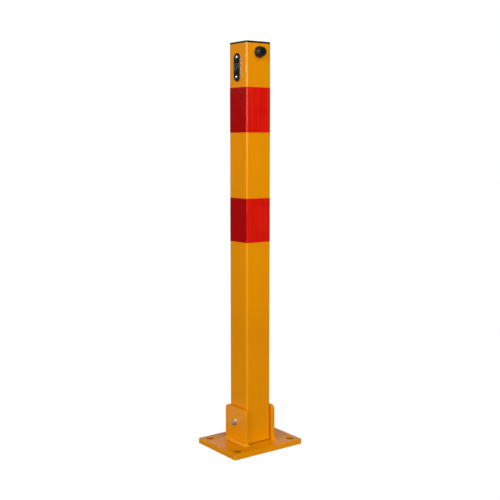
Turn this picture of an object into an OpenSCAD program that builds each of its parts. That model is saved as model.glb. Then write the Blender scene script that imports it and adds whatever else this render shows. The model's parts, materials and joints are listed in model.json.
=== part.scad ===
// Fold-down parking post. A square steel tube stands between two cheeks that are welded to
// a bolt-down base plate, and folds down about the bolt that joins them. A rod inside the
// tube drops into the plate and holds the post upright. A knob lifts the rod, and a key lock
// swings a cam over a lug on the rod, so that the knob can't lift it.
// Millimetres, +Z up. The origin is the centre of the base plate's underside. X runs along
// the pivot bolt, and the post folds down towards +Y.

/* [Base plate] */
// Length of the base plate, along the pivot bolt
plate_l = 203; // [195:1:260]
// Width of the base plate, in the folding direction
plate_w = 157; // [130:1:200]
// Thickness of the base plate
plate_t = 13; // [10:0.5:20]
// Corner radius of the base plate
plate_r = 3; // [1:0.5:8]
// Diameter of each anchor hole
anchor_d = 18; // [12:0.5:20]
// Distance between the anchor holes along the plate
anchor_dx = 160; // [145:1:175]
// Distance between the anchor holes across the plate
anchor_dy = 117; // [105:1:130]

/* [Cheeks] */
// Width of each cheek
cheek_w = 84; // [70:1:96]
// Thickness of each cheek
cheek_t = 8; // [6:0.5:12]
// Height of each cheek above the plate
cheek_h = 87.5; // [78:0.5:105]
// Radius of each cheek's top corners
cheek_r = 12; // [4:0.5:18]
// Gap between the post and each cheek
cheek_gap = 1.5; // [1.2:0.1:4]
// Leg of the weld bead round each cheek's foot
weld_leg = 5; // [3:0.5:6]

/* [Post] */
// Width of the square tube
post_w = 70; // [64:1:84]
// Wall of the square tube
post_wall = 3; // [2:0.5:4]
// Outer corner radius of the square tube
post_r = 4; // [4:0.5:6]
// Length of the square tube
post_l = 957; // [700:1:1200]
// Gap under the front of the tube
foot_gap = 2; // [1.5:0.5:4]
// Thickness of the top cap's flange
cap_t = 5; // [3:0.5:8]
// Depth of the cap's skirt inside the tube
skirt_h = 8; // [4:0.5:8]
// Wall of the cap's skirt
skirt_wall = 2; // [1.5:0.1:2]

/* [Bands] */
// Height of each warning band
band_h = 105; // [60:1:140]
// Thickness of the bands
band_t = 0.3; // [0.2:0.1:1]
// Distance from the tube's top to the upper band
band_drop = 101; // [95:0.5:150]
// Distance between the tops of the two bands
band_pitch = 260; // [150:0.5:350]

/* [Pivot] */
// Height of the pivot above the plate's top
pivot_h = 49.5; // [46:0.5:58]
// Diameter of the pivot bolt
bolt_d = 8; // [7:0.5:10]
// Size of the pivot bolt's hexagon across its flats
bolt_af = 13; // [12:1:17]
// Outer diameter of the pivot sleeve welded through the tube
sleeve_d = 14; // [12:0.5:20]
// Outer diameter of the washers under the head and the nut
washer_d = 16; // [15:1:24]
// Thickness of those washers
washer_t = 1.6; // [1:0.1:2.5]
// Outer diameter of the spacer washers in the gaps
spacer_d = 24; // [20:1:30]

/* [Locking rod] */
// Diameter of the locking rod
rod_d = 12; // [10:0.5:14.5]
// Space between the rod and the front wall
rod_gap = 6; // [5:0.5:7]
// Height of the raised rod's tip above the plate
rod_lift = 7; // [5:0.5:9]
// Radius at which the crank pin turns
crank_r = 9.5; // [9.5:0.1:9.8]
// Diameter of the crank pin
crank_pin_d = 6; // [4:0.5:6]
// Thickness of the lift bar
bar_t = 5; // [4:0.5:6]
// Width of the lift bar
bar_w = 20; // [16:1:20]

/* [Lock] */
// Distance from the tube's top to the lock's axis
lock_drop = 54.5; // [54:0.5:60]
// Diameter of the lock barrel
barrel_d = 19; // [15.5:0.5:19]
// Diameter of the lock plug
plug_d = 13; // [11:0.5:13]
// Width of the black cover plate
cover_w = 24; // [24:0.5:30]
// Height of the black cover plate
cover_h = 65; // [64:1:74]
// Thickness of the black cover plate
cover_t = 1.5; // [1.5:0.5:4]
// Thickness of the bright plate behind it
backing_t = 2.5; // [1:0.5:3]
// Distance between the cover's two screws
cover_screw_pitch = 46; // [44:0.5:48]
// Diameter of the cover screws' heads
cover_screw_head_d = 9; // [7:0.5:10]
// Reach of the cam from the lock's axis
cam_reach = 15; // [14:0.5:16]

/* [Knob] */
// Distance from the tube's top to the knob's axis
knob_drop = 20; // [20:0.5:22]
// Diameter of the knob at its back
knob_d = 26; // [24:0.5:30]
// Diameter of the knob at its front
knob_front_d = 20; // [18:0.5:23]
// Length of the knob
knob_l = 13.5; // [10:0.5:16]
// Diameter of the collar between the knob and the tube
collar_d = 26; // [25:0.5:32]
// Thickness of that collar
collar_t = 3.5; // [2:0.5:5]
// Diameter of the knob's spindle
spindle_d = 8; // [7:0.5:9]

/* [Hidden] */
$fn = 64;

// Clearances, all per side: a turning fit, a free hole, a piece slid into the tube, a welded
// or screwed piece, and the film's glue
run_gap = 0.08;
free_gap = 0.5;
slip_gap = 0.2;
weld_gap = 0.1;
film_gap = 0.1;

// Colours
paint_yellow = [0.86, 0.53, 0.03];
band_red = [0.72, 0.05, 0.03];
zinc = [0.78, 0.79, 0.8];
steel = [0.55, 0.56, 0.58];
dark_plastic = [0.05, 0.05, 0.055];
nylon = [0.85, 0.84, 0.78];

// Heights
pivot_z = plate_t + pivot_h;
foot_z = plate_t + foot_gap;
foot_arc_r = pivot_h - foot_gap;
post_top = foot_z + post_l;
lock_z = post_top - lock_drop;
knob_z = post_top - knob_drop;

// Tube and cheeks
post_half = post_w / 2;
bore_w = post_w - 2 * post_wall;
bore_half = bore_w / 2;
cheek_in = post_half + cheek_gap;
cheek_out = cheek_in + cheek_t;

// Pivot
spacer_t = cheek_gap - 2 * weld_gap;
head_t = 5.3;
nut_t = 6.5;
nut_collar_t = 1.5;
bolt_end = cheek_out + washer_t + nut_t + nut_collar_t + 2;

// Locking rod, raised
rod_y = -(bore_half - rod_gap - rod_d / 2);
rod_tip_z = plate_t + rod_lift;
rod_top_z = lock_z - 30;
rod_chamfer = 2;
rod_slot_h = 25;
rod_pin_d = 4;
rod_pin_z = rod_top_z - rod_slot_h / 2;
guide_t = 5;
guide_land = 5;
lower_guide_z = foot_z + 17;

// Crank: it turns by crank_sweep and lowers the rod by rod_travel
crank_sweep = 120;
rod_travel = 2 * crank_r * sin(crank_sweep / 2);
bar_foot_z = rod_top_z - rod_slot_h + weld_gap;
upper_guide_z = bar_foot_z - rod_travel - guide_t - 4;
crank_t = 4;
crank_y = -bore_half + 2.5;
crank_hub_d = 16;
crank_eye_d = 11;
pin_slack = 0.8;
pin_x_near = crank_r * cos(crank_sweep / 2);
pin_z = knob_z + crank_r * sin(crank_sweep / 2);
bar_head_rim = 5;

// Lock, unlocked: the cam hangs down
backing_x = -post_half - backing_t;
cover_x = backing_x - cover_t;
bezel_d = barrel_d + 2;
bezel_t = 1.6;
barrel_end = -12;
plug_end = -10;
plug_proud = 0.6;
plug_x = cover_x - bezel_t - plug_proud;
lock_nut_t = 4;
lock_nut_af = barrel_d + 5;
keyway_w = 2;
keyway_h = 8;
keyway_depth = 9;
cam_t = 3;
cam_w = 8;
cam_hub_d = 15;
cam_screw_d = 4;
lug_gap = 2.5;
lug_t = 5;
lug_out = 6.5;
lug_w = 6;

// Knob
collar_y = -post_half - collar_t;
friction_t = 0.5;
knob_y = collar_y - friction_t - weld_gap;
knob_front_y = knob_y - knob_l;
shank_d = 14;
shank_end = crank_y - 0.5;
collar_nut_af = 18;
knob_cap_d = 9;
knob_cap_t = 1;
knob_screw_d = 4;
knob_screw_head_d = 7;
knob_screw_head_t = 2.4;
spindle_y = knob_front_y + knob_cap_t + knob_screw_head_t + 1;
flutes = 18;
flute_d = 2.4;

// A cylinder along X from x0 to x1
module x_rod(d, x0, x1) {
    translate([x0, 0, 0]) rotate([0, 90, 0]) cylinder(d = d, h = x1 - x0);
}

// A cylinder along Y from y0 to y1
module y_rod(d, y0, y1) {
    translate([0, y0, 0]) rotate([-90, 0, 0]) cylinder(d = d, h = y1 - y0);
}

// A cylinder along Z from z0 to z1
module z_rod(d, z0, z1) {
    translate([0, 0, z0]) cylinder(d = d, h = z1 - z0);
}

// A hexagonal prism along X, by its size across the flats
module x_hex(af, x0, x1) {
    translate([x0, 0, 0]) rotate([0, 90, 0]) cylinder(d = af / cos(30), h = x1 - x0, $fn = 6);
}

// A rectangle with round corners, centred
module round_rect(w, d, r) {
    square([w - 2 * r, d], center = true);
    square([w, d - 2 * r], center = true);
    for (sx = [-1, 1], sy = [-1, 1])
        translate([sx * (w / 2 - r), sy * (d / 2 - r)]) circle(r = r);
}

// A square ring that fits round or inside the tube
module square_ring(outer, outer_r, inner, inner_r, z0, h) {
    translate([0, 0, z0]) linear_extrude(height = h) difference() {
        round_rect(outer, outer, outer_r);
        round_rect(inner, inner, inner_r);
    }
}

// A plate with round ends on the tube's left face, from x0 to x1
module lock_plate(w, h, x0, x1) {
    translate([x0, 0, lock_z]) rotate([90, 0, 90]) linear_extrude(height = x1 - x0) {
        square([w, h - w], center = true);
        for (s = [-1, 1]) translate([0, s * (h - w) / 2]) circle(d = w);
    }
}

// The holes through the lock's plates and the tube's left wall
module lock_holes(gap) {
    translate([0, 0, lock_z]) {
        x_rod(barrel_d + 2 * gap, -post_half - 10, 0);
        for (s = [-1, 1])
            translate([0, 0, s * cover_screw_pitch / 2]) x_rod(4.2 + 2 * gap, -post_half - 10, 0);
    }
}

// The bolt's hole through one cheek
module bolt_hole(x0, x1) {
    translate([0, 0, pivot_z]) x_rod(bolt_d + 2 * free_gap, x0, x1);
}

// One cheek: a flat bar with round top corners, standing from x0
module cheek(x0) {
    difference() {
        translate([x0, 0, plate_t]) rotate([90, 0, 90]) linear_extrude(height = cheek_t) {
            translate([-cheek_w / 2, 0]) square([cheek_w, cheek_h - cheek_r]);
            translate([-cheek_w / 2 + cheek_r, 0]) square([cheek_w - 2 * cheek_r, cheek_h]);
            for (s = [-1, 1])
                translate([s * (cheek_w / 2 - cheek_r), cheek_h - cheek_r]) circle(r = cheek_r);
        }
        bolt_hole(x0 - 1, x0 + cheek_t + 1);
    }
}

// A weld bead's section, its right angle at the origin
module weld_section() {
    polygon([[0, 0], [weld_leg, 0], [weld_leg * 0.62, weld_leg * 0.62], [0, weld_leg]]);
}

// The bead round the outer side and the two ends of the right cheek's foot
module weld_bead() {
    translate([cheek_out, cheek_w / 2, plate_t]) rotate([90, 0, 0])
        linear_extrude(height = cheek_w) weld_section();
    for (s = [-1, 1]) scale([1, s, 1]) {
        translate([cheek_in, cheek_w / 2, plate_t]) rotate([90, 0, 90])
            linear_extrude(height = cheek_t) weld_section();
        translate([cheek_out, cheek_w / 2, plate_t]) rotate_extrude(angle = 90) weld_section();
    }
}

// What the back of the foot loses, so that it turns clear of the plate
module foot_sweep() {
    difference() {
        translate([-post_w, 0, 0]) cube([2 * post_w, post_w, pivot_z]);
        translate([0, 0, pivot_z]) x_rod(2 * foot_arc_r, -post_w - 1, post_w + 1);
    }
}

// A plate that guides the rod, across the tube from its front wall to y_end
module rod_guide(z0, y_end) {
    fit = bore_w - 2 * slip_gap;
    translate([0, 0, z0]) difference() {
        intersection() {
            linear_extrude(height = guide_t) round_rect(fit, fit, 1.5);
            translate([-post_w, -post_w, -1]) cube([2 * post_w, post_w + y_end, guide_t + 2]);
        }
        translate([0, rod_y, 0]) z_rod(rod_d + 2 * run_gap, -1, guide_t + 1);
    }
}

module base_plate() {
    color(paint_yellow) difference() {
        linear_extrude(height = plate_t) round_rect(plate_l, plate_w, plate_r);
        for (sx = [-1, 1], sy = [-1, 1])
            translate([sx * anchor_dx / 2, sy * anchor_dy / 2, 0]) z_rod(anchor_d, -1, plate_t + 1);
        translate([0, rod_y, 0]) z_rod(rod_d + 2 * free_gap, -1, plate_t + 1);
    }
}

module left_cheek() {
    color(paint_yellow) cheek(-cheek_out);
}

module right_cheek() {
    color(paint_yellow) cheek(cheek_in);
}

module cheek_welds() {
    color(paint_yellow) {
        weld_bead();
        mirror([1, 0, 0]) weld_bead();
    }
}

module pivot_bolt() {
    color(zinc) translate([0, 0, pivot_z]) {
        x_rod(bolt_d, -cheek_out - washer_t, bolt_end);
        x_hex(bolt_af, -cheek_out - washer_t - head_t, -cheek_out - washer_t);
    }
}

module bolt_washers() {
    color(zinc) translate([0, 0, pivot_z]) for (x0 = [-cheek_out - washer_t, cheek_out])
        difference() {
            x_rod(washer_d, x0, x0 + washer_t);
            x_rod(bolt_d + 2 * free_gap, x0 - 1, x0 + washer_t + 1);
        }
}

module pivot_nut() {
    nut_x = cheek_out + washer_t;
    color(zinc) translate([0, 0, pivot_z]) difference() {
        union() {
            x_hex(bolt_af, nut_x, nut_x + nut_t);
            x_rod(bolt_af - 2, nut_x + nut_t, nut_x + nut_t + nut_collar_t);
        }
        x_rod(bolt_d + 2 * weld_gap, nut_x - 1, bolt_end + 1);
    }
}

module spacer_washers() {
    color(nylon) translate([0, 0, pivot_z]) for (s = [-1, 1]) {
        x0 = s > 0 ? post_half + weld_gap : -post_half - weld_gap - spacer_t;
        difference() {
            x_rod(spacer_d, x0, x0 + spacer_t);
            x_rod(bolt_d + 2 * free_gap, x0 - 1, x0 + spacer_t + 1);
        }
    }
}

module post_tube() {
    color(paint_yellow) difference() {
        square_ring(post_w, post_r, bore_w, post_r - post_wall, foot_z, post_l);
        foot_sweep();
        translate([0, 0, pivot_z])
            x_rod(sleeve_d + 2 * weld_gap, -post_half - 1, post_half + 1);
        lock_holes(slip_gap);
        translate([0, 0, knob_z]) y_rod(shank_d + 2 * slip_gap, -post_half - 1, -bore_half + 1);
    }
}

module pivot_sleeve() {
    color(steel) translate([0, 0, pivot_z]) difference() {
        x_rod(sleeve_d, -post_half, post_half);
        x_rod(bolt_d + 2 * run_gap, -post_half - 1, post_half + 1);
    }
}

module lower_guide() {
    color(steel) rod_guide(lower_guide_z, rod_y + rod_d / 2 + guide_land);
}

module upper_guide() {
    color(steel) rod_guide(upper_guide_z, post_w);
}

module top_cap() {
    skirt_w = bore_w - 2 * slip_gap;
    color(dark_plastic) {
        translate([0, 0, post_top]) linear_extrude(height = cap_t)
            round_rect(post_w, post_w, post_r);
        square_ring(skirt_w, 1.5, skirt_w - 2 * skirt_wall, 1, post_top - skirt_h, skirt_h);
    }
}

// A band of film round the tube, by its top edge
module band(top) {
    outside = film_gap + band_t;
    square_ring(post_w + 2 * outside, post_r + outside, post_w + 2 * film_gap,
        post_r + film_gap, top - band_h, band_h);
}

module upper_band() {
    color(band_red) band(post_top - band_drop);
}

module lower_band() {
    color(band_red) band(post_top - band_drop - band_pitch);
}

module lock_backing() {
    color(zinc) difference() {
        lock_plate(cover_w, cover_h, backing_x, -post_half);
        lock_holes(weld_gap);
    }
}

module lock_cover() {
    color(dark_plastic) difference() {
        lock_plate(cover_w, cover_h, cover_x, backing_x);
        lock_holes(weld_gap);
    }
}

module cover_screws() {
    head_t = 2.2;
    recess = 1.3;
    color(zinc) for (s = [-1, 1]) translate([0, 0, lock_z + s * cover_screw_pitch / 2])
        difference() {
            union() {
                x_rod(4.2, cover_x, -bore_half + 5);
                x_rod(cover_screw_head_d, cover_x - head_t, cover_x);
            }
            for (a = [0, 90]) translate([cover_x - head_t - 1, 0, 0]) rotate([a + 20, 0, 0])
                translate([0, -2.6, -0.6]) cube([1 + recess, 5.2, 1.2]);
        }
}

module lock_barrel() {
    color(steel) translate([0, 0, lock_z]) difference() {
        union() {
            x_rod(barrel_d, cover_x, barrel_end);
            x_rod(bezel_d, cover_x - bezel_t, cover_x);
        }
        x_rod(plug_d + 2 * run_gap, cover_x - bezel_t - 1, barrel_end + 1);
    }
}

module lock_nut() {
    color(zinc) translate([0, 0, lock_z]) difference() {
        x_hex(lock_nut_af, -bore_half, -bore_half + lock_nut_t);
        x_rod(barrel_d + 2 * weld_gap, -bore_half - 1, -bore_half + lock_nut_t + 1);
    }
}

module knob_collar() {
    color(dark_plastic) translate([0, 0, knob_z]) difference() {
        union() {
            y_rod(collar_d, collar_y, -post_half);
            y_rod(shank_d, -post_half, shank_end);
        }
        y_rod(spindle_d + 2 * run_gap, collar_y - 1, shank_end + 1);
    }
}

module collar_nut() {
    color(zinc) translate([0, 0, knob_z]) difference() {
        rotate([0, 0, -90]) x_hex(collar_nut_af, -shank_end, bore_half);
        y_rod(shank_d + 2 * weld_gap, -bore_half - 1, shank_end + 1);
    }
}

module friction_washer() {
    color(nylon) translate([0, 0, knob_z]) difference() {
        y_rod(collar_d - 6, collar_y - friction_t, collar_y);
        y_rod(spindle_d + 2 * free_gap, collar_y - friction_t - 1, collar_y + 1);
    }
}

module locking_rod() {
    color(steel) translate([0, rod_y, 0]) difference() {
        union() {
            z_rod(rod_d, rod_tip_z + rod_chamfer, rod_top_z);
            translate([0, 0, rod_tip_z])
                cylinder(d1 = rod_d - 2 * rod_chamfer, d2 = rod_d, h = rod_chamfer);
        }
        translate([-rod_d, -bar_t / 2 - weld_gap, rod_top_z - rod_slot_h])
            cube([2 * rod_d, bar_t + 2 * weld_gap, rod_slot_h + 1]);
        translate([0, 0, rod_pin_z]) y_rod(rod_pin_d + 2 * weld_gap, -rod_d, rod_d);
    }
}

module lift_bar() {
    slot_h = crank_pin_d + 2 * pin_slack;
    slot_x0 = pin_x_near - slot_h / 2;
    slot_x1 = crank_r + slot_h / 2;
    head_z0 = pin_z - slot_h / 2 - bar_head_rim;
    lug_z = lock_z + cam_w / 2 + lug_gap;
    color(steel) translate([0, rod_y, 0]) difference() {
        union() {
            translate([-bar_w / 2, -bar_t / 2, bar_foot_z]) cube([bar_w, bar_t, head_z0 + 1 - bar_foot_z]);
            translate([-bar_w / 2, -bar_t / 2, head_z0])
                cube([bar_w / 2 + slot_x1 + bar_head_rim, bar_t, slot_h + 2 * bar_head_rim]);
            translate([-bar_w / 2, bar_t / 2 - 1, lug_z]) cube([lug_w, lug_out + 1, lug_t]);
        }
        translate([slot_x0, -bar_t, pin_z - slot_h / 2])
            cube([slot_x1 - slot_x0, 2 * bar_t, slot_h]);
        translate([0, 0, rod_pin_z]) y_rod(rod_pin_d + 2 * weld_gap, -bar_t, bar_t);
    }
}

module rod_pin() {
    color(zinc) translate([0, rod_y, rod_pin_z]) y_rod(rod_pin_d, -rod_d / 2, rod_d / 2);
}

module knob() {
    color(dark_plastic) translate([0, knob_y, knob_z]) rotate([90, 0, 0]) difference() {
        rotate_extrude() polygon([[0, 0], [knob_d / 2 - 0.8, 0], [knob_d / 2, 0.8],
            [knob_d / 2, 2], [knob_front_d / 2 + 0.6, knob_l - 2.2],
            [knob_front_d / 2 - 0.2, knob_l - 1], [knob_front_d / 2 - 1.6, knob_l - 0.3],
            [knob_cap_d / 2 + 1, knob_l], [0, knob_l]]);
        z_rod(knob_cap_d + 2 * weld_gap, knob_l - knob_cap_t, knob_l + 1);
        z_rod(knob_screw_head_d + 2 * weld_gap, knob_l - knob_cap_t - knob_screw_head_t, knob_l);
        z_rod(knob_screw_d + 2 * weld_gap, -1, knob_l);
        z_rod(spindle_d + 2 * weld_gap, -1, knob_y - spindle_y);
        for (i = [0 : flutes - 1]) rotate(i * 360 / flutes)
            translate([knob_d / 2 + 0.3, 0, 2.6]) cylinder(d = flute_d, h = knob_l);
    }
}

module knob_cap() {
    color(steel) translate([0, 0, knob_z])
        y_rod(knob_cap_d, knob_front_y, knob_front_y + knob_cap_t);
}

module knob_screw() {
    head_y = knob_front_y + knob_cap_t;
    color(zinc) translate([0, 0, knob_z]) {
        y_rod(knob_screw_head_d, head_y, head_y + knob_screw_head_t);
        y_rod(knob_screw_d, head_y + knob_screw_head_t, spindle_y + 8);
    }
}

module knob_spindle() {
    color(steel) translate([0, 0, knob_z]) difference() {
        y_rod(spindle_d, spindle_y, crank_y + crank_t);
        y_rod(knob_screw_d + 2 * weld_gap, spindle_y - 1, spindle_y + 9);
    }
}

module crank_arm() {
    color(steel) translate([0, crank_y, knob_z]) rotate([0, -crank_sweep / 2, 0])
        rotate([-90, 0, 0]) difference() {
            linear_extrude(height = crank_t) {
                circle(d = crank_hub_d);
                translate([0, -crank_eye_d / 2]) square([crank_r, crank_eye_d]);
                translate([crank_r, 0]) circle(d = crank_eye_d);
            }
            z_rod(spindle_d + 2 * weld_gap, -1, crank_t + 1);
            translate([crank_r, 0, 0]) z_rod(crank_pin_d + 2 * weld_gap, -1, crank_t + 1);
        }
}

module crank_pin() {
    color(zinc) translate([pin_x_near, 0, pin_z])
        y_rod(crank_pin_d, crank_y, rod_y + bar_t / 2 + 1);
}

module lock_plug() {
    color(zinc) translate([0, 0, lock_z]) difference() {
        x_rod(plug_d, plug_x, plug_end);
        translate([plug_x - 1, -keyway_w / 2, -keyway_h / 2])
            cube([keyway_depth + 1, keyway_w, keyway_h]);
        x_rod(cam_screw_d + 2 * weld_gap, plug_end - 7, plug_end + 1);
    }
}

module lock_cam() {
    color(steel) translate([plug_end, 0, lock_z]) rotate([90, 0, 90]) difference() {
        linear_extrude(height = cam_t) {
            circle(d = cam_hub_d);
            translate([-cam_w / 2, -cam_reach]) square([cam_w, cam_reach]);
        }
        z_rod(cam_screw_d + 2 * weld_gap, -1, cam_t + 1);
    }
}

module cam_screw() {
    color(zinc) translate([0, 0, lock_z]) {
        x_rod(cam_screw_d, plug_end - 6, plug_end + cam_t);
        x_rod(7, plug_end + cam_t, plug_end + cam_t + 2.4);
    }
}

base_plate();
left_cheek();
right_cheek();
cheek_welds();
pivot_bolt();
bolt_washers();
pivot_nut();
spacer_washers();
post_tube();
pivot_sleeve();
lower_guide();
upper_guide();
top_cap();
upper_band();
lower_band();
lock_backing();
lock_cover();
cover_screws();
lock_barrel();
lock_nut();
knob_collar();
collar_nut();
friction_washer();
locking_rod();
lift_bar();
rod_pin();
knob();
knob_cap();
knob_screw();
knob_spindle();
crank_arm();
crank_pin();
lock_plug();
lock_cam();
cam_screw();
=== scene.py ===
"""The looks of a fold-down parking post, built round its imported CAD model. Metres, +Z up."""
import json
import math

import bmesh
import bpy
from mathutils import Matrix, Vector, noise


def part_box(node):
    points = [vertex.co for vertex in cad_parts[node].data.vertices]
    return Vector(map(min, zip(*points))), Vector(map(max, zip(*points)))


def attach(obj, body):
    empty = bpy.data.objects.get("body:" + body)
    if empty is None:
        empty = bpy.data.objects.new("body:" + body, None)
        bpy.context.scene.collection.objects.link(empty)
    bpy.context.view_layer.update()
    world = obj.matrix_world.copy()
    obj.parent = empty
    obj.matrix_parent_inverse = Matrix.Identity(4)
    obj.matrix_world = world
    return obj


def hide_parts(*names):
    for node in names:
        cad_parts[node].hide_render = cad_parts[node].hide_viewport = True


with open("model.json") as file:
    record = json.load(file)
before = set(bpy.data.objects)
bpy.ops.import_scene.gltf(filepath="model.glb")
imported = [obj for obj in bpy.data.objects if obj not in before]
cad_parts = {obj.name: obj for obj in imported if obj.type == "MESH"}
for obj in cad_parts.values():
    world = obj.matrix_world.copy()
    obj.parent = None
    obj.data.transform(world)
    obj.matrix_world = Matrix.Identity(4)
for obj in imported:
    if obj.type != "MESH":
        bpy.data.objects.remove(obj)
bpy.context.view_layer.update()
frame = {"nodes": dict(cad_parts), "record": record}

MM = 0.001

# ---------------------------------------------------------------- places taken from the frame

PLATE_LO, PLATE_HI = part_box("base_plate")
CHEEK_LO, CHEEK_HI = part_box("right_cheek")
WELD_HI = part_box("cheek_welds")[1]
BOLT_LO, BOLT_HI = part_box("pivot_bolt")
WASHER_LO, WASHER_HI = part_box("bolt_washers")
NUT_LO, NUT_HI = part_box("pivot_nut")
TUBE_LO, TUBE_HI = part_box("post_tube")
CAP_LO, CAP_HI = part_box("top_cap")
COVER_LO, COVER_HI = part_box("lock_cover")
SCREWS_LO, SCREWS_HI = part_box("cover_screws")
BARREL_LO, BARREL_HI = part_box("lock_barrel")
KNOB_LO, KNOB_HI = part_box("knob")
KNOB_CAP_LO, KNOB_CAP_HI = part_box("knob_cap")
COLLAR_LO, COLLAR_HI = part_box("knob_collar")
ROD_LO, ROD_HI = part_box("locking_rod")
SPINDLE_LO, SPINDLE_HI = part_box("knob_spindle")
MOUNTS = {m["name"]: m for m in frame["record"]["mounts"]}

PIVOT_Z = (BOLT_LO.z + BOLT_HI.z) / 2
LOCK_Z = (COVER_LO.z + COVER_HI.z) / 2
KNOB_Z = (KNOB_LO.z + KNOB_HI.z) / 2

# Sizes that no box gives: corner radii, bores and clearances
PLATE_CORNER = 3 * MM
CHEEK_CORNER = 12 * MM
TUBE_CORNER = 4 * MM
FREE_GAP = 0.5 * MM
RUN_GAP = 0.08 * MM
BOLT_RADIUS = 4 * MM
SCREW_RADIUS = 2.1 * MM
BEZEL_LEDGE = 1 * MM
SHANK_RADIUS = 7 * MM
SKIRT_CORNER = 1.5 * MM
HOLE_GAP = 0.1 * MM

# ---------------------------------------------------------------- mesh code


def facing(direction, origin):
    """The matrix that turns local +Z to a direction and moves the local origin."""
    turn = Vector(direction).to_track_quat("Z", "Y").to_matrix().to_4x4()
    return Matrix.Translation(Vector(origin)) @ turn


def solid(name, verts, faces, place=Matrix.Identity(4), sharp=38):
    """A closed mesh object from points and faces, shaded smooth except at sharp edges."""
    mesh = bpy.data.meshes.new(name)
    mesh.from_pydata([place @ Vector(v) for v in verts], [], faces)
    bm = bmesh.new()
    bm.from_mesh(mesh)
    bmesh.ops.remove_doubles(bm, verts=bm.verts, dist=1e-7)
    bmesh.ops.recalc_face_normals(bm, faces=bm.faces)
    bm.to_mesh(mesh)
    bm.free()
    mesh.shade_smooth()
    mesh.set_sharp_from_angle(angle=math.radians(sharp))
    obj = bpy.data.objects.new(name, mesh)
    bpy.context.scene.collection.objects.link(obj)
    weigh = obj.modifiers.new("weighted", "WEIGHTED_NORMAL")
    weigh.keep_sharp = True
    return obj


def joined(name, parts):
    """Several (points, faces, place) shells as one object."""
    verts, faces = [], []
    for points, polygons, place in parts:
        first = len(verts)
        verts += [place @ Vector(p) for p in points]
        faces += [[first + i for i in polygon] for polygon in polygons]
    return solid(name, verts, faces)


def arc(centre, radius, start, end, steps):
    """Points along an arc in the plane, angles in degrees."""
    turns = [math.radians(start + (end - start) * i / steps) for i in range(steps + 1)]
    return [(centre[0] + radius * math.cos(t), centre[1] + radius * math.sin(t)) for t in turns]


def circle(centre, radius, steps=48):
    """Points round a circle, anticlockwise."""
    return arc(centre, radius, 0, 360, steps)[:-1]


def rounded_rectangle(x0, y0, x1, y1, radii, steps=8):
    """A rectangle's outline with its own radius at each corner, anticlockwise from (x1, y0)."""
    corners = [(x1, y0, -90, -1, 1), (x1, y1, 0, -1, -1),
               (x0, y1, 90, 1, -1), (x0, y0, 180, 1, 1)]
    points = []
    for (x, y, start, sx, sy), r in zip(corners, radii):
        if r > 0:
            points += arc((x + sx * r, y + sy * r), r, start, start + 90, steps)
        else:
            points.append((x, y))
    return points


def offset(loop, distance):
    """A loop moved inwards by a distance (outwards if negative), corner by corner."""
    sharpest = 0.35  # keeps the point of a very sharp corner from running away
    moved = []
    count = len(loop)
    for i, (x, y) in enumerate(loop):
        before = Vector(loop[i]) - Vector(loop[i - 1])
        after = Vector(loop[(i + 1) % count]) - Vector(loop[i])
        n0 = Vector((-before.y, before.x)).normalized()
        n1 = Vector((-after.y, after.x)).normalized()
        middle = (n0 + n1).normalized()
        reach = distance / max(sharpest, middle.dot(n0))
        moved.append((x + middle.x * reach, y + middle.y * reach))
    return moved


def slab(name, outline, thickness, bevel, holes=(), hole_bevel=0.0, place=Matrix.Identity(4)):
    """A plate in the local XY plane from z = 0 up, with rounded edges and rounded hole rims."""
    bm = bmesh.new()
    rings = {"low": [], "high": []}
    steps = 4
    turns = [math.radians(90 * k / steps) for k in range(steps + 1)]
    for loop, size, side in [(outline, bevel, 1)] + [(h, hole_bevel, -1) for h in holes]:
        levels = [(size * (1 - math.sin(t)), size * (1 - math.cos(t))) for t in turns]
        rows = []
        for inset, z in levels + [(inset, thickness - z) for inset, z in reversed(levels)]:
            points = offset(loop, side * inset) if inset > 1e-9 else loop
            rows.append([bm.verts.new((x, y, z)) for x, y in points])
        for low, high in zip(rows, rows[1:]):
            for i in range(len(loop)):
                j = (i + 1) % len(loop)
                bm.faces.new((low[i], low[j], high[j], high[i]))
        rings["low"].append(rows[0])
        rings["high"].append(rows[-1])
    for level, up in (("low", -1), ("high", 1)):
        edges = [bm.edges.get((row[i - 1], row[i])) for row in rings[level]
                 for i in range(len(row))]
        bmesh.ops.triangle_fill(bm, edges=edges, use_beauty=True, normal=(0, 0, up))
    bm.verts.index_update()
    verts = [v.co.copy() for v in bm.verts]
    faces = [[v.index for v in f.verts] for f in bm.faces]
    bm.free()
    return solid(name, verts, faces, place)


def spun(outline_at, segments=64, closed=False):
    """Points and faces of an outline of (radius, height) turned round local Z. outline_at(turn)
    gives it for each angle: a closed ring, or a line that starts and ends on the axis."""
    verts, faces = [], []
    count = len(outline_at(0.0))
    for i in range(segments):
        turn = 2 * math.pi * i / segments
        verts += [(r * math.cos(turn), r * math.sin(turn), z) for r, z in outline_at(turn)]
    for i in range(segments):
        j = (i + 1) % segments
        for k in range(count if closed else count - 1):
            m = (k + 1) % count
            quad = [i * count + k, j * count + k, j * count + m, i * count + m]
            if not closed and k == 0:
                quad = [i * count, j * count + 1, i * count + 1]
            elif not closed and m == count - 1:
                quad = [i * count + k, j * count + k, i * count + m]
            faces.append(quad)
    return verts, faces


def turned(name, profile, place, segments=64, closed=False):
    """An object turned from one profile of (radius, height)."""
    verts, faces = spun(lambda turn: profile, segments, closed)
    return solid(name, verts, faces, place)


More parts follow.
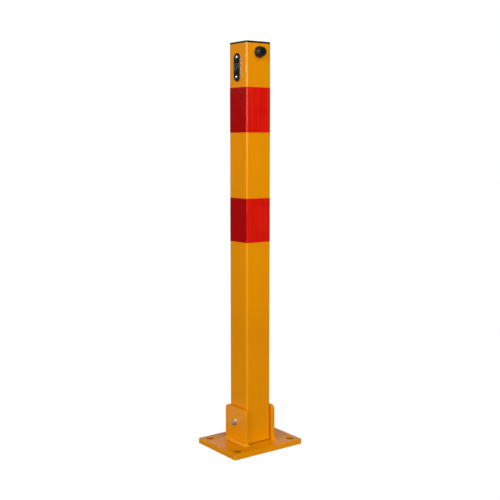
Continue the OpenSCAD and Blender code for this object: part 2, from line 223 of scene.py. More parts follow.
def softened(points, radii, steps=4):
    """A line of (radius, height) points with its inner corners rounded."""
    out = []
    for i, p in enumerate(points):
        if i in (0, len(points) - 1) or not radii[i]:
            out.append(tuple(p))
            continue
        here, back, ahead = Vector(p), Vector(points[i - 1]), Vector(points[i + 1])
        a, b = (back - here).normalized(), (ahead - here).normalized()
        half = a.angle(b) / 2
        start = here + a * (radii[i] / math.tan(half))
        end = here + b * (radii[i] / math.tan(half))
        centre = here + (a + b).normalized() * (radii[i] / math.sin(half))
        for k in range(steps + 1):
            point = start.lerp(end, k / steps) - centre
            out.append(tuple(centre + point.normalized() * radii[i]))
    return out


def washer_profile(inner, outer, height, edge):
    """A flat ring's section with softened edges."""
    middle = height / 2
    points = [(inner, middle), (inner, 0), (outer, 0), (outer, height), (inner, height),
              (inner, middle)]
    return softened(points, [0, edge, edge, edge, edge, 0])[:-1]


def hexagon(turn, across_flats):
    """How far a hexagon's side lies from its centre in one direction."""
    return across_flats / 2 / math.cos((turn + math.pi / 6) % (math.pi / 3) - math.pi / 6)


def hex_corner(turn, across_flats, z, into):
    """The turned-off corner between a hexagon's sides and its face at z, from the face out."""
    crown_share, slope, soft = 0.95, 28, 0.15 * MM
    crown = across_flats / 2 * crown_share
    wide = hexagon(turn, across_flats)
    drop = (wide - crown) * math.tan(math.radians(slope))
    return [(crown, z), (wide - soft, z + into * drop * 0.92), (wide, z + into * (drop + soft))]


def standing(x):
    """The matrix that stands a plate up: its local X and Y go to Y and Z, its thickness to X."""
    return Matrix(((0, 0, 1, x), (1, 0, 0, 0), (0, 1, 0, 0), (0, 0, 0, 1)))


# ---------------------------------------------------------------- materials


class Nodes:
    """A material's node tree, with short calls that make and link nodes."""

    def __init__(self, name):
        self.material = bpy.data.materials.new(name)
        self.material.use_nodes = True
        self.tree = self.material.node_tree
        self.shader = self.tree.nodes["Principled BSDF"]
        self.place = self.tree.nodes.new("ShaderNodeTexCoord").outputs["Object"]

    def link(self, output, node, socket):
        self.tree.links.new(output, node.inputs[socket])

    def noise(self, scale, detail=2.0, roughness=0.5, stretch=None):
        """Noise from 0 to 1 at a scale per metre. stretch scales each axis before it."""
        source = self.place
        if stretch:
            mapping = self.tree.nodes.new("ShaderNodeMapping")
            mapping.inputs["Scale"].default_value = stretch
            self.link(source, mapping, "Vector")
            source = mapping.outputs[0]
        node = self.tree.nodes.new("ShaderNodeTexNoise")
        node.inputs["Scale"].default_value = scale
        node.inputs["Detail"].default_value = detail
        node.inputs["Roughness"].default_value = roughness
        self.link(source, node, "Vector")
        return node.outputs["Fac"]

    def ramp(self, value, stops):
        """A colour for each value, between (position, colour) stops."""
        node = self.tree.nodes.new("ShaderNodeValToRGB")
        while len(node.color_ramp.elements) < len(stops):
            node.color_ramp.elements.new(0.5)
        for element, (position, colour) in zip(node.color_ramp.elements, stops):
            element.position = position
            element.color = (*colour, 1)
        self.link(value, node, "Fac")
        return node.outputs["Color"]

    def span(self, value, low, high, start=0.0, end=1.0):
        """A value from start to end, mapped to low to high."""
        node = self.tree.nodes.new("ShaderNodeMapRange")
        for name, number in (("From Min", start), ("From Max", end), ("To Min", low),
                             ("To Max", high)):
            node.inputs[name].default_value = number
        self.link(value, node, "Value")
        return node.outputs["Result"]

    def mix(self, factor, a, b):
        """Colour a where the factor is 0 and colour b where it is 1."""
        node = self.tree.nodes.new("ShaderNodeMix")
        node.data_type = "RGBA"
        factor_socket, a_socket, b_socket, colour_output = 0, 6, 7, 2
        self.link(factor, node, factor_socket)
        for socket, value in ((a_socket, a), (b_socket, b)):
            if isinstance(value, tuple):
                node.inputs[socket].default_value = (*value, 1)
            else:
                self.link(value, node, socket)
        return node.outputs[colour_output]

    def edges(self, radius, gain):
        """1 near an edge and 0 on a flat face."""
        bevel = self.tree.nodes.new("ShaderNodeBevel")
        bevel.samples = 4
        bevel.inputs["Radius"].default_value = radius
        flat = self.tree.nodes.new("ShaderNodeNewGeometry").outputs["Normal"]
        dot = self.tree.nodes.new("ShaderNodeVectorMath")
        dot.operation = "DOT_PRODUCT"
        self.link(bevel.outputs[0], dot, 0)
        self.link(flat, dot, 1)
        return self.span(dot.outputs["Value"], 1.0, 0.0, 1 - gain, 1.0)

    def bump(self, heights, distance, strength=1.0):
        node = self.tree.nodes.new("ShaderNodeBump")
        node.inputs["Distance"].default_value = distance
        node.inputs["Strength"].default_value = strength
        self.link(heights, node, "Height")
        self.link(node.outputs[0], self.shader, "Normal")

    def seen_directly(self):
        """1 for what the camera sees directly and 0 in light and reflections."""
        return self.tree.nodes.new("ShaderNodeLightPath").outputs["Is Camera Ray"]

    def set(self, **values):
        """Shader inputs by name, each a number, a colour or another node's output."""
        for name, value in values.items():
            socket = self.shader.inputs[name.replace("_", " ")]
            if isinstance(value, (int, float, tuple)):
                socket.default_value = value
            else:
                self.tree.links.new(value, socket)


def yellow_paint():
    """Gloss powder coat: a faint orange peel, a slow drift of tone and a painted highlight on
    edges.
    """
    deep, full = (0.63, 0.218, 0.0003), (0.68, 0.243, 0.0004)
    streak, edge_highlight, speck = (0.58, 0.19, 0.0003), (0.74, 0.30, 0.004), (0.50, 0.16, 0.0003)
    n = Nodes("yellow_powder_coat")
    colour = n.ramp(n.noise(5, 3), [(0.3, deep), (0.7, full)])
    streaks = n.span(n.noise(60, 2, 0.5, (1, 1, 0.02)), 0.0, 0.22, 0.35, 0.75)
    colour = n.mix(streaks, colour, streak)
    # Edges get a lighter colour: a painted highlight.
    colour = n.mix(n.edges(0.9 * MM, 0.25), colour, edge_highlight)
    specks = n.span(n.noise(900, 1), 0.0, 0.5, 0.72, 0.78)
    colour = n.mix(specks, colour, speck)
    n.set(Base_Color=colour, Roughness=n.span(n.noise(40, 4), 0.16, 0.24, 0.3, 0.7))
    n.set(Specular_IOR_Level=0.36)
    n.bump(n.noise(650, 2), 0.00012, 0.35)
    return n.material


def bore_painted_shade():
    """The colour inside a drilled hole: a painted shade, darker and browner than the coat, and
    dull.
    """
    shade_deep, shade_pale = (0.26, 0.078, 0.001), (0.40, 0.13, 0.001)
    n = Nodes("painted_shade_in_holes")
    # Both colours are painted shade, darker than the plate's coat.
    n.set(Base_Color=n.ramp(n.noise(260, 4), [(0.3, shade_deep), (0.7, shade_pale)]))
    n.set(Roughness=n.span(n.noise(300, 2), 0.5, 0.7), Specular_IOR_Level=0.2)
    n.bump(n.noise(500, 3), 0.0001, 0.5)
    return n.material


def red_film():
    """Glossy red film, with the faint upright streaks of film that was pulled tight. On the lock's
    side the film's colour is darker: a painted shade."""
    deep, full, streak = (0.50, 0.003, 0.001), (0.57, 0.007, 0.002), (0.74, 0.020, 0.008)
    shaded_deep, shaded_full = (0.29, 0.0006, 0.0004), (0.34, 0.001, 0.0006)
    shade_start, shade_end = TUBE_LO.x - 0.2 * MM, TUBE_LO.x + 1.5 * MM
    n = Nodes("red_band_film")
    drift = n.noise(22, 4)
    colour = n.ramp(drift, [(0.3, deep), (0.7, full)])
    streaks = n.span(n.noise(170, 3, 0.6, (1, 1, 0.03)), 0.0, 0.5, 0.4, 0.75)
    colour = n.mix(streaks, colour, streak)
    axes = n.tree.nodes.new("ShaderNodeSeparateXYZ")
    n.link(n.place, axes, 0)
    # The film on the lock's side (-X) is painted darker: a painted shade on that face.
    painted_shade_side = n.span(axes.outputs["X"], 1.0, 0.0, shade_start, shade_end)
    colour = n.mix(painted_shade_side, colour, n.ramp(drift, [(0.3, shaded_deep), (0.7, shaded_full)]))
    n.set(Base_Color=colour, Roughness=n.span(n.noise(60, 3), 0.16, 0.26, 0.3, 0.7))
    n.set(Specular_IOR_Level=0.36)
    n.bump(n.noise(420, 2, 0.5, (1, 1, 0.3)), 0.0001, 0.3)
    return n.material


def moulded(name, tone, rough, grain):
    """Black moulded plastic with a fine spark-eroded grain and paler scuffed edges."""
    dark, worn, scuffed = [(tone * share,) * 3 for share in (1, 1.5, 3.2)]
    n = Nodes(name)
    base = n.ramp(n.noise(90, 3), [(0.35, dark), (0.65, worn)])
    colour = n.mix(n.edges(0.5 * MM, 0.5), base, scuffed)
    n.set(Base_Color=colour, Roughness=n.span(n.noise(300, 2), rough - 0.05, rough + 0.07))
    n.set(Specular_IOR_Level=0.3)
    n.bump(n.noise(1800, 2), 0.00006, grain)
    return n.material


def plated(name, colour, rough, stretch=(1, 1, 1), scale=260):
    """Plated metal: a drifting tone, a fine grain and brighter edges."""
    n = Nodes(name)
    dull = tuple(c * 0.78 for c in colour)
    bright = tuple(min(1.0, c * 1.2) for c in colour)
    tone = n.ramp(n.noise(120, 4), [(0.3, dull), (0.7, colour)])
    n.set(Base_Color=n.mix(n.edges(0.4 * MM, 0.4), tone, bright), Metallic=1.0)
    grain = n.noise(scale, 3, 0.6, stretch)
    n.set(Roughness=n.span(grain, rough - 0.08, rough + 0.12, 0.25, 0.75))
    n.bump(grain, 0.00004, 0.4)
    return n.material


def nylon_material():
    """Natural nylon, slightly waxy."""
    deep, pale = (0.62, 0.60, 0.50), (0.72, 0.70, 0.60)
    n = Nodes("natural_nylon")
    n.set(Base_Color=n.ramp(n.noise(150, 3), [(0.3, deep), (0.7, pale)]))
    n.set(Roughness=n.span(n.noise(200, 2), 0.4, 0.55), Subsurface_Weight=0.1)
    n.bump(n.noise(900, 2), 0.00005, 0.3)
    return n.material


MATERIALS = {
    "yellow_paint": yellow_paint(),
    "red_band": red_film(),
    "black_plastic": moulded("black_moulded_plastic", 0.009, 0.34, 0.5),
    "zinc_plated": plated("bright_zinc_plate", (0.86, 0.86, 0.85), 0.24),
    "plain_steel": plated("drawn_steel", (0.46, 0.45, 0.44), 0.38, (1, 1, 0.06)),
    "lock_metal": plated("dark_nickel", (0.10, 0.115, 0.10), 0.34),
    "nylon": nylon_material(),
}
GLOSS_BLACK = moulded("black_gloss_cover", 0.006, 0.18, 0.2)
BORE_PAINTED_SHADE = bore_painted_shade()
SATIN_ZINC = plated("satin_zinc_backing", (0.88, 0.87, 0.84), 0.5)
SLOT_OF = {part["node"]: part["material_slot"] for part in frame["record"]["subparts"]}
BODY_OF = {node: body for body, nodes in frame["record"]["behaviour"]["bodies"].items()
           for node in nodes}

for node_name, node_object in frame["nodes"].items():
    node_object.data.materials.clear()
    node_object.data.materials.append(MATERIALS[SLOT_OF[node_name]])


def stands_for(obj, node, material=None):
    """The piece takes a CAD node's place: its body, its material slot, and its finish unless
    another is given."""
    obj.data.materials.append(material or MATERIALS[SLOT_OF[node]])
    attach(obj, BODY_OF[node])
    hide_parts(node)
    return obj


# ---------------------------------------------------------------- base


def make_base_plate():
    """The plate, with its four anchor holes and the locking rod's hole. The walls of the holes
    carry
    a darker, duller colour than the rest: a painted shade."""
    edge, hole_edge = 0.9 * MM, 0.5 * MM
    hole_zone = PLATE_HI - Vector((5 * MM, 5 * MM, 0))
    anchors = MOUNTS["anchor_holes"]["dims"]
    half_x, half_y = anchors["spacing_x_mm"] * MM / 2, anchors["spacing_y_mm"] * MM / 2
    holes = [circle((sx * half_x, sy * half_y), anchors["hole_r_mm"] * MM)
             for sx in (-1, 1) for sy in (-1, 1)]
    rod_radius = (ROD_HI.x - ROD_LO.x) / 2
    holes.append(circle((0, (ROD_LO.y + ROD_HI.y) / 2), rod_radius + FREE_GAP))
    outline = rounded_rectangle(PLATE_LO.x, PLATE_LO.y, PLATE_HI.x, PLATE_HI.y, [PLATE_CORNER] * 4)
    plate = slab("base_plate_steel", outline, PLATE_HI.z, edge, holes, hole_edge)
    stands_for(plate, "base_plate")
    # The hole walls take the painted shade colour.
    plate.data.materials.append(BORE_PAINTED_SHADE)
    for face in plate.data.polygons:
        inside = abs(face.center.x) < hole_zone.x and abs(face.center.y) < hole_zone.y
        upright = abs(face.normal.z) < 0.3
        if inside and upright:
            face.material_index = 1


def make_cheek(node):
    """A flat bar on end, with round top corners and the bolt's hole."""
    edge, hole_edge = 0.8 * MM, 0.3 * MM
    lo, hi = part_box(node)
    outline = rounded_rectangle(lo.y, lo.z, hi.y, hi.z, [0, CHEEK_CORNER, CHEEK_CORNER, 0], 14)
    hole = circle((0, PIVOT_Z), BOLT_RADIUS + FREE_GAP)
    cheek = slab(node + "_bar", outline, hi.x - lo.x, edge, [hole], hole_edge, standing(lo.x))
    stands_for(cheek, node)


def weld_path():
    """Where the bead's root runs round the right cheek's foot, and which way it faces."""
    inner, outer, half = CHEEK_LO.x, CHEEK_HI.x, CHEEK_HI.y
    end_steps, side_steps, fan_steps = 16, 150, 10
    path = []
    for k in range(end_steps):
        path.append((inner + (outer - inner) * k / end_steps, half, 90.0))
    for k in range(fan_steps):
        path.append((outer, half, 90.0 - 90 * k / fan_steps))
    for k in range(side_steps):
        path.append((outer, half - 2 * half * k / side_steps, 0.0))
    for k in range(fan_steps):
        path.append((outer, -half, -90.0 * k / fan_steps))
    for k in range(end_steps + 1):
        path.append((outer + (inner - outer) * k / end_steps, -half, -90.0))
    return path


def weld_bead():
    """A hand-laid fillet bead under paint: overlapping ripples, and a leg that wanders a little."""
    leg = WELD_HI.x - CHEEK_HI.x
    across = 9
    ripple_pitch, ripple_bow = 2.6 * MM, 1.1 * MM
    ripple_shape, ripple_share = 0.6, 0.07
    leg_share, crown_share, wander_share = 0.86, 0.10, 0.05
    wander_rate, wander_row = 90, 3.1
    fan_travel = 0.5 * MM
    verts, faces = [], []
    travel = 0.0
    path = weld_path()
    for i, (x, y, facing_angle) in enumerate(path):
        if i:
            step = math.hypot(x - path[i - 1][0], y - path[i - 1][1])
            travel += step if step > 1e-6 else fan_travel
        turn = math.radians(facing_angle)
        out = Vector((math.cos(turn), math.sin(turn), 0))
        wander = wander_share * noise.noise(Vector((travel * wander_rate, wander_row, 0)))
        verts.append((x, y, PLATE_HI.z))
        for k in range(across):
            t = k / (across - 1)
            bow = math.sin(math.pi * t)
            phase = (travel + ripple_bow * bow) / ripple_pitch
            ripple = abs(math.sin(math.pi * phase)) ** ripple_shape
            reach = leg * (leg_share + wander + ripple_share * ripple)
            swell = 1 + bow * (crown_share + ripple_share * ripple)
            u, w = reach * (1 - t), reach * t
            blend = swell if 0 < k < across - 1 else 1.0
            point = Vector((x, y, PLATE_HI.z)) + out * u * blend + Vector((0, 0, w * blend))
            verts.append(tuple(point))
    row = across + 1
    for i in range(len(path) - 1):
        for k in range(row):
            m = (k + 1) % row
            faces.append([i * row + k, (i + 1) * row + k, (i + 1) * row + m, i * row + m])
    faces.append(list(range(row)))
    faces.append([(len(path) - 1) * row + k for k in range(row)])
    return verts, faces


def make_welds():
    """The bead round the right cheek's foot, and its mirror image at the left one."""
    verts, faces = weld_bead()
    mirror = Matrix.Scale(-1, 4, (1, 0, 0))
    sides = [(verts, faces, place) for place in (Matrix.Identity(4), mirror)]
    beads = joined("cheek_weld_beads", sides)
    stands_for(beads, "cheek_welds")


def make_bolt():
    """A hexagon bolt: a turned-off head, a plain shank and a cut thread at its end."""
    across = BOLT_HI.y - BOLT_LO.y
    head = WASHER_LO.x - BOLT_LO.x
    length = BOLT_HI.x - BOLT_LO.x
    tip, tip_chamfer = 1 * MM, 0.8 * MM
    thread_start = NUT_LO.x - BOLT_LO.x - 2 * MM
    pitch, depth, rows_per_pitch = 1.25 * MM, 0.55 * MM, 6
    rows = round((length - tip - thread_start) / (pitch / rows_per_pitch))

    def outline(turn):
        line = [(0, 0), (across * 0.22, 0)] + hex_corner(turn, across, 0, 1)
        line += [(hexagon(turn, across), head), (BOLT_RADIUS, head), (BOLT_RADIUS, thread_start)]
        for k in range(rows):
            z = thread_start + (k + 0.5) * pitch / rows_per_pitch
            wave = abs((z / pitch - turn / (2 * math.pi)) % 1 - 0.5) * 2
            line.append((BOLT_RADIUS - depth * wave, z))
        line += [(BOLT_RADIUS - depth, length - tip_chamfer), (BOLT_RADIUS * 0.75, length)]
        return line + [(0, length)]

    verts, faces = spun(outline, 72)
    place = facing((1, 0, 0), (BOLT_LO.x, 0, PIVOT_Z))
    stands_for(solid("pivot_bolt_hexagon", verts, faces, place), "pivot_bolt")


def make_nut():
    """A lock nut: a turned-off hexagon with a round collar that holds its nylon ring."""
    across = NUT_HI.y - NUT_LO.y
    height = NUT_HI.x - NUT_LO.x
    hexagon_height = height * 0.8
    bore = BOLT_RADIUS + HOLE_GAP
    chamfer = 0.5 * MM
    collar = across / 2 - 1.1 * MM
    rim_r = 0.8 * MM
    ring_width, ring_depth = 1.2 * MM, 0.4 * MM

    def outline(turn):
        low = [(bore, chamfer), (bore + chamfer, 0)] + hex_corner(turn, across, 0, 1)
        high = reversed(hex_corner(turn, across, hexagon_height, -1))
        rim = arc((collar - rim_r, height - rim_r), rim_r, 0, 90, 4)
        ring = [(bore + ring_width, height), (bore + ring_width, height - ring_depth),
                (bore, height - ring_depth)]
        return low + list(high) + [(collar, hexagon_height)] + rim + ring

    verts, faces = spun(outline, 72, closed=True)
    place = facing((1, 0, 0), (NUT_LO.x, 0, PIVOT_Z))
    stands_for(solid("pivot_lock_nut", verts, faces, place), "pivot_nut")


def make_bolt_washers():
    """The washer under the bolt's head and the one under its nut."""
    thickness = NUT_LO.x - CHEEK_HI.x
    radius = (WASHER_HI.y - WASHER_LO.y) / 2
    profile = washer_profile(BOLT_RADIUS + FREE_GAP, radius, thickness, 0.3 * MM)
    verts, faces = spun(lambda turn: profile, 64, closed=True)
    shells = [(verts, faces, facing((1, 0, 0), (x, 0, PIVOT_Z)))
              for x in (WASHER_LO.x, CHEEK_HI.x)]
    stands_for(joined("bolt_washer_pair", shells), "bolt_washers")


make_base_plate()
make_cheek("left_cheek")
make_cheek("right_cheek")
make_welds()
make_bolt()
make_nut()
make_bolt_washers()

# ---------------------------------------------------------------- top of the post


def make_top_cap():
    """A moulded cap: a shallow crown, a rounded flange and a skirt that plugs the tube."""
    half = CAP_HI.x
    flange_z = TUBE_HI.z
    wall, corner_steps = 2 * MM, 6
    skirt = half - 3.2 * MM
    inner, inner_corner, ceiling = skirt - wall, 1 * MM, flange_z + wall
    lead_in, lead_in_height = 0.5 * MM, 0.8 * MM
    chamfer = 0.4 * MM
    edge, edge_steps = 1.4 * MM, 5
    crown = 0.4

    def loop(size, corner, z):
        square = rounded_rectangle(-size, -size, size, size, [corner] * 4, corner_steps)
        return [(x, y, z) for x, y in square]

    loops = [loop(inner * 0.5, SKIRT_CORNER, ceiling), loop(inner, inner_corner, ceiling),
             loop(inner, inner_corner, CAP_LO.z), loop(skirt - lead_in, SKIRT_CORNER, CAP_LO.z),
             loop(skirt, SKIRT_CORNER, CAP_LO.z + lead_in_height),
             loop(skirt, SKIRT_CORNER, flange_z), loop(half - chamfer, TUBE_CORNER, flange_z),
             loop(half, TUBE_CORNER, flange_z + chamfer)]
    for k in range(edge_steps + 1):
        turn = math.radians(90 * k / edge_steps)
        size = half - edge * (1 - math.cos(turn))
        z = CAP_HI.z - crown * MM - edge * (1 - math.sin(turn))
        loops.append(loop(size, TUBE_CORNER, z))
    for share, rise in ((0.93, 0.05), (0.8, 0.18), (0.6, 0.29), (0.35, 0.36), (0.12, crown)):
        loops.append(loop(half * share, TUBE_CORNER * share, CAP_HI.z - (crown - rise) * MM))
    count = len(loops[0])
    verts = [p for row in loops for p in row]
    faces = [[i * count + k, i * count + (k + 1) % count, (i + 1) * count + (k + 1) % count,
              (i + 1) * count + k] for i in range(len(loops) - 1) for k in range(count)]
    faces.append(list(range(count)))
    faces.append([(len(loops) - 1) * count + k for k in range(count)])
    stands_for(solid("top_cap_moulding", verts, faces), "top_cap")


def stadium(lo, hi):
    """The outline of a plate with round ends, across Y and up Z. The radius is just short of
    half the width, so that no two points meet at the ends."""
    radius = (hi.y - lo.y) / 2 * 0.9999
    return rounded_rectangle(lo.y, lo.z, hi.y, hi.z, [radius] * 4, 16)


def lock_plate(name, node, bevel, material=None):
    """One of the two plates round the lock, with its screw holes and the barrel's hole."""
    hole_edge = 0.1 * MM
    lo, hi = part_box(node)
    barrel = circle((0, LOCK_Z), (BARREL_HI.y - BARREL_LO.y) / 2 - BEZEL_LEDGE + HOLE_GAP)
    holes = [circle((0, z), SCREW_RADIUS + HOLE_GAP, 24) for z in screw_heights()] + [barrel]
    plate = slab(name, stadium(lo, hi), hi.x - lo.x, bevel, holes, hole_edge, standing(lo.x))
    stands_for(plate, node, material)


def screw_heights():
    """The heights of the cover screws' axes."""
    radius = (SCREWS_HI.y - SCREWS_LO.y) / 2
    return SCREWS_LO.z + radius, SCREWS_HI.z - radius


def make_cover_screws():
    """Two pan-head screws with a cross recess."""
    radius = (SCREWS_HI.y - SCREWS_LO.y) / 2
    head = COVER_LO.x - SCREWS_LO.x
    length = SCREWS_HI.x - SCREWS_LO.x
    arm_half, arm_length, recess = 0.75 * MM, 2.9 * MM, 1.2 * MM
    side_slope, end_slope = 0.25 * MM, 0.9 * MM
    dome_share, head_edge, tip = 0.45, 0.2 * MM, 1 * MM
    twist = Matrix.Rotation(math.radians(20), 4, "Z")
    rows = 16

    def top(r, turn):
        dome = head * dome_share * (r / radius) ** 4
        along = r * max(abs(math.cos(turn)), abs(math.sin(turn)))
        across = r * min(abs(math.cos(turn)), abs(math.sin(turn)))
        side = min(1.0, max(0.0, (arm_half - across) / side_slope))
        end = min(1.0, max(0.0, (arm_length - along) / end_slope))
        return dome + recess * side * end

    def outline(turn):
        line = [(0, recess)]
        for k in range(1, rows + 1):
            r = radius * 0.95 * k / rows
            line.append((r, top(r, turn)))
        line += [(radius, head * 0.6), (radius, head - head_edge), (radius - head_edge, head)]
        return line + [(SCREW_RADIUS, head), (SCREW_RADIUS, length - tip),
                       (SCREW_RADIUS * 0.5, length), (0, length)]

    verts, faces = spun(outline, 96)
    shells = [(verts, faces, facing((1, 0, 0), (SCREWS_LO.x, 0, z)) @ twist)
              for z in screw_heights()]
    stands_for(joined("cover_screw_pair", shells), "cover_screws")


def make_lock_barrel():
    """The lock's body: a rounded bezel over the cover and a tube that runs inside."""
    bezel = (BARREL_HI.y - BARREL_LO.y) / 2
    tube = bezel - BEZEL_LEDGE
    plug_lo, plug_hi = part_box("lock_plug")
    bore = (plug_hi.y - plug_lo.y) / 2 + RUN_GAP
    bezel_depth = COVER_LO.x - BARREL_LO.x
    length = BARREL_HI.x - BARREL_LO.x
    mouth, soft, bezel_edge = 0.9 * MM, 0.2 * MM, 1.1 * MM
    points = [(bore, length / 2), (bore, mouth), (bore + mouth, 0), (bezel, 0),
              (bezel, bezel_depth), (tube, bezel_depth), (tube, length), (bore, length),
              (bore, length / 2)]
    profile = softened(points, [0, soft, soft, bezel_edge, 0, 0, soft, soft, 0])[:-1]
    place = facing((1, 0, 0), (BARREL_LO.x, 0, LOCK_Z))
    stands_for(turned("lock_barrel_body", profile, place, 80, closed=True), "lock_barrel")


def make_knob():
    """A fluted knob that narrows to a rounded front, with a seat for its small cap."""
    back = (KNOB_HI.x - KNOB_LO.x) / 2
    length = KNOB_HI.y - KNOB_LO.y
    front = back * 0.77
    seat, seat_depth = (KNOB_CAP_HI.x - KNOB_CAP_LO.x) / 2 + HOLE_GAP, 1 * MM
    seat_edge, seat_edge_depth = 0.3 * MM, 0.2 * MM
    flutes, flute_depth, flute_shape = 18, 0.9 * MM, 1.5
    rim, rim_edge, rim_chamfer, flutes_start = 1.9 * MM, 0.8 * MM, 0.7 * MM, 2.2 * MM
    rows, edge_steps = 14, 6
    edge, edge_step = 2.2 * MM, 0.3 * MM

    def outline(turn):
        line = [(0, 0), (back - rim_edge, 0), (back, rim_chamfer), (back, rim)]
        groove = max(0.0, math.cos(flutes * turn)) ** flute_shape
        for k in range(rows + 1):
            z = flutes_start + (length - edge - flutes_start) * k / rows
            share = (z - rim) / (length - rim)
            r = back + (front - back) * share ** 0.85
            fade = min(1.0, k / 2) * (1 - share) ** 0.5
            line.append((r - flute_depth * groove * fade, z))
        start = line[-1][0] - edge_step
        for k in range(1, edge_steps + 1):
            turn_in = math.radians(90 * k / edge_steps)
            line.append((start - edge * 0.8 * (1 - math.cos(turn_in)),
                         length - edge * (1 - math.sin(turn_in))))
        return line + [(seat + seat_edge, length), (seat, length - seat_edge_depth),
                       (seat, length - seat_depth), (0, length - seat_depth)]

    verts, faces = spun(outline, 180)
    place = facing((0, -1, 0), (0, KNOB_HI.y, KNOB_Z))
    stands_for(solid("knob_fluted", verts, faces, place, sharp=50), "knob")


def make_knob_cap():
    """The domed disc that hides the knob's screw."""
    radius = (KNOB_CAP_HI.x - KNOB_CAP_LO.x) / 2
    height = KNOB_CAP_HI.y - KNOB_CAP_LO.y
    steps, dome_share, wall_share = 5, 0.25, 0.6
    dome = [(radius * k / steps, height * (1 - dome_share * (k / steps) ** 2))
            for k in range(steps)]
    profile = [(0, 0), (radius, 0), (radius, height * wall_share)] + list(reversed(dome))
    place = facing((0, -1, 0), (0, KNOB_CAP_HI.y, KNOB_Z))
    stands_for(turned("knob_cap_disc", profile, place, 48), "knob_cap", GLOSS_BLACK)


def make_knob_collar():
    """The collar between the knob and the tube, with the shank that carries the spindle."""
    outer = (COLLAR_HI.x - COLLAR_LO.x) / 2
    bore = (SPINDLE_HI.x - SPINDLE_LO.x) / 2 + RUN_GAP
    thickness = TUBE_LO.y - COLLAR_LO.y
    length = COLLAR_HI.y - COLLAR_LO.y
    points = [(bore, length / 2), (bore, 0), (outer, 0), (outer, thickness),
              (SHANK_RADIUS, thickness), (SHANK_RADIUS, length), (bore, length), (bore, length / 2)]
    radii = [0, 0.2 * MM, 0.9 * MM, 0.3 * MM, 0, 0.4 * MM, 0.2 * MM, 0]
    place = facing((0, 1, 0), (0, COLLAR_LO.y, KNOB_Z))
    collar = turned("knob_collar_turned", softened(points, radii)[:-1], place, 80, closed=True)
    stands_for(collar, "knob_collar")


make_top_cap()
lock_plate("lock_backing_plate", "lock_backing", 0.4 * MM, SATIN_ZINC)
lock_plate("lock_cover_plate", "lock_cover", 0.6 * MM, GLOSS_BLACK)
make_cover_screws()
make_lock_barrel()
make_knob()
make_knob_cap()
make_knob_collar()

# ---------------------------------------------------------------- camera, lights, floor

# The floor's own light and the world's, by the way a ray points: towards the backdrop or the room
FLOOR_GLOW = 0.96
ROOM_LIGHT = 0.03
BACKDROP_LIGHT = 0.4
BACKDROP_WAY = (0.59, 0.80, 0)
BACKDROP_START, BACKDROP_FULL = 0.5, 0.85


def make_camera():
    """The photo's viewpoint, from a fit to the straight edges of the post and its base."""
    camera = bpy.data.objects.new("camera", bpy.data.cameras.new("camera"))
    bpy.context.scene.collection.objects.link(camera)
    camera.data.lens = 64.021
    camera.data.sensor_width = 36
    camera.location = (-1.26517, -1.72389, 0.74055)
    forward = Vector((0.587449, 0.800453, -0.119074))
    camera.rotation_mode = "QUATERNION"
    camera.rotation_quaternion = forward.to_track_quat("-Z", "Y")
    bpy.context.scene.camera = camera


def area_light(name, place, aim, size, power, lights_matt=True, lights_gloss=True):
    """A lit rectangle that the camera doesn't see. It can be left out of matt light, as a
    reflector card for one glossy face, or out of reflections."""
    data = bpy.data.lights.new(name, "AREA")
    data.shape = "RECTANGLE"
    data.size, data.size_y = size
    data.energy = power
    lamp = bpy.data.objects.new(name, data)
    bpy.context.scene.collection.objects.link(lamp)
    lamp.location = place
    lamp.rotation_mode = "QUATERNION"
    lamp.rotation_quaternion = (Vector(aim) - Vector(place)).to_track_quat("-Z", "Y")
    lamp.visible_camera = False
    lamp.visible_diffuse = lights_matt
    lamp.visible_glossy = lights_gloss


def sun_light(name, towards, strength, spread):
    """A distant soft light in the direction given, with its apparent size in degrees. Gloss
    doesn't reflect it, because so wide a disc would pale the paint."""
    data = bpy.data.lights.new(name, "SUN")
    data.energy = strength
    data.angle = math.radians(spread)
    lamp = bpy.data.objects.new(name, data)
    bpy.context.scene.collection.objects.link(lamp)
    lamp.rotation_mode = "QUATERNION"
    lamp.rotation_quaternion = (-Vector(towards)).to_track_quat("-Z", "Y")
    lamp.visible_glossy = False


def make_floor():
    """A floor that is dark to the object's light, so that it doesn't pale the paint, and white
    to the camera."""
    half = 14
    dark, pale = (0.065,) * 3, (0.075,) * 3
    mesh = bpy.data.meshes.new("floor")
    mesh.from_pydata([(-half, -half, 0), (half, -half, 0), (half, half, 0), (-half, half, 0)],
                     [], [(0, 1, 2, 3)])
    floor = bpy.data.objects.new("floor", mesh)
    bpy.context.scene.collection.objects.link(floor)
    n = Nodes("pale_floor")
    n.set(Base_Color=n.ramp(n.noise(3, 2), [(0.3, dark), (0.7, pale)]))
    n.set(Roughness=0.9, Emission_Color=(1, 1, 1, 1), Specular_IOR_Level=0.1)
    n.set(Emission_Strength=n.span(n.seen_directly(), 0.0, FLOOR_GLOW))
    floor.data.materials.append(n.material)


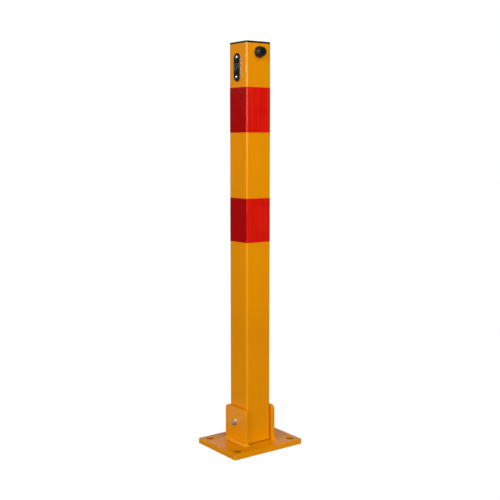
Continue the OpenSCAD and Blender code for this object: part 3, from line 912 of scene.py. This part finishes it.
def make_world():
    """A white studio. Behind the object it is a bright backdrop, which the plate's top reflects,
    and in front of the object the room is dark, so that the gloss on the post stays deep. The
    camera sees it white all round."""
    world = bpy.data.worlds.new("studio")
    world.use_nodes = True
    tree = world.node_tree
    background = tree.nodes["Background"]
    background.inputs["Color"].default_value = (1, 1, 1, 1)
    place = tree.nodes.new("ShaderNodeTexCoord")
    dot = tree.nodes.new("ShaderNodeVectorMath")
    dot.operation = "DOT_PRODUCT"
    dot.inputs[1].default_value = BACKDROP_WAY
    tree.links.new(place.outputs["Generated"], dot.inputs[0])
    side = tree.nodes.new("ShaderNodeMapRange")
    for name, number in (("From Min", BACKDROP_START), ("From Max", BACKDROP_FULL),
                         ("To Min", ROOM_LIGHT), ("To Max", BACKDROP_LIGHT)):
        side.inputs[name].default_value = number
    tree.links.new(dot.outputs["Value"], side.inputs["Value"])
    path = tree.nodes.new("ShaderNodeLightPath")
    level = tree.nodes.new("ShaderNodeMix")
    factor_socket, lit_socket, seen_socket = 0, 2, 3
    tree.links.new(path.outputs["Is Camera Ray"], level.inputs[factor_socket])
    tree.links.new(side.outputs["Result"], level.inputs[lit_socket])
    level.inputs[seen_socket].default_value = 1.0
    tree.links.new(level.outputs[0], background.inputs["Strength"])
    bpy.context.scene.world = world


def make_lights():
    """Soft suns for the matt light, and small panels and cards for the gloss of single faces."""
    sun_light("key", towards=(0.1, -1.0, 0.5), strength=2.05, spread=40)
    sun_light("left_fill", towards=(-1.0, -0.25, 0.3), strength=2.75, spread=40)
    sun_light("back_fill", towards=(0.6, 0.9, 0.06), strength=2.2, spread=40)
    area_light("front_panel", place=(-0.75, -1.25, 1.0), aim=(0, 0, 0.85), size=(0.5, 0.5),
               power=9, lights_gloss=False)
    area_light("corner_strip", place=(-2.25, -1.98, 1.18), aim=(0, 0, 0.95), size=(0.5, 0.9),
               power=36, lights_matt=False)
    area_light("lock_card", place=(-0.62, 0.85, 1.14), aim=(0, 0, 0.92), size=(0.5, 0.42),
               power=0.07, lights_matt=False)
    area_light("screw_glint", place=(-1.1, 0.43, 1.16), aim=(0, 0, 0.92), size=(0.34, 0.34),
               power=8, lights_matt=False)
    area_light("bolt_card", place=(-0.17, 0.14, 0.02), aim=(-0.05, 0, 0.06), size=(0.12, 0.06),
               power=0.009, lights_matt=False)


make_camera()
make_floor()
make_world()
make_lights()
bpy.context.scene.view_settings.view_transform = "Standard"
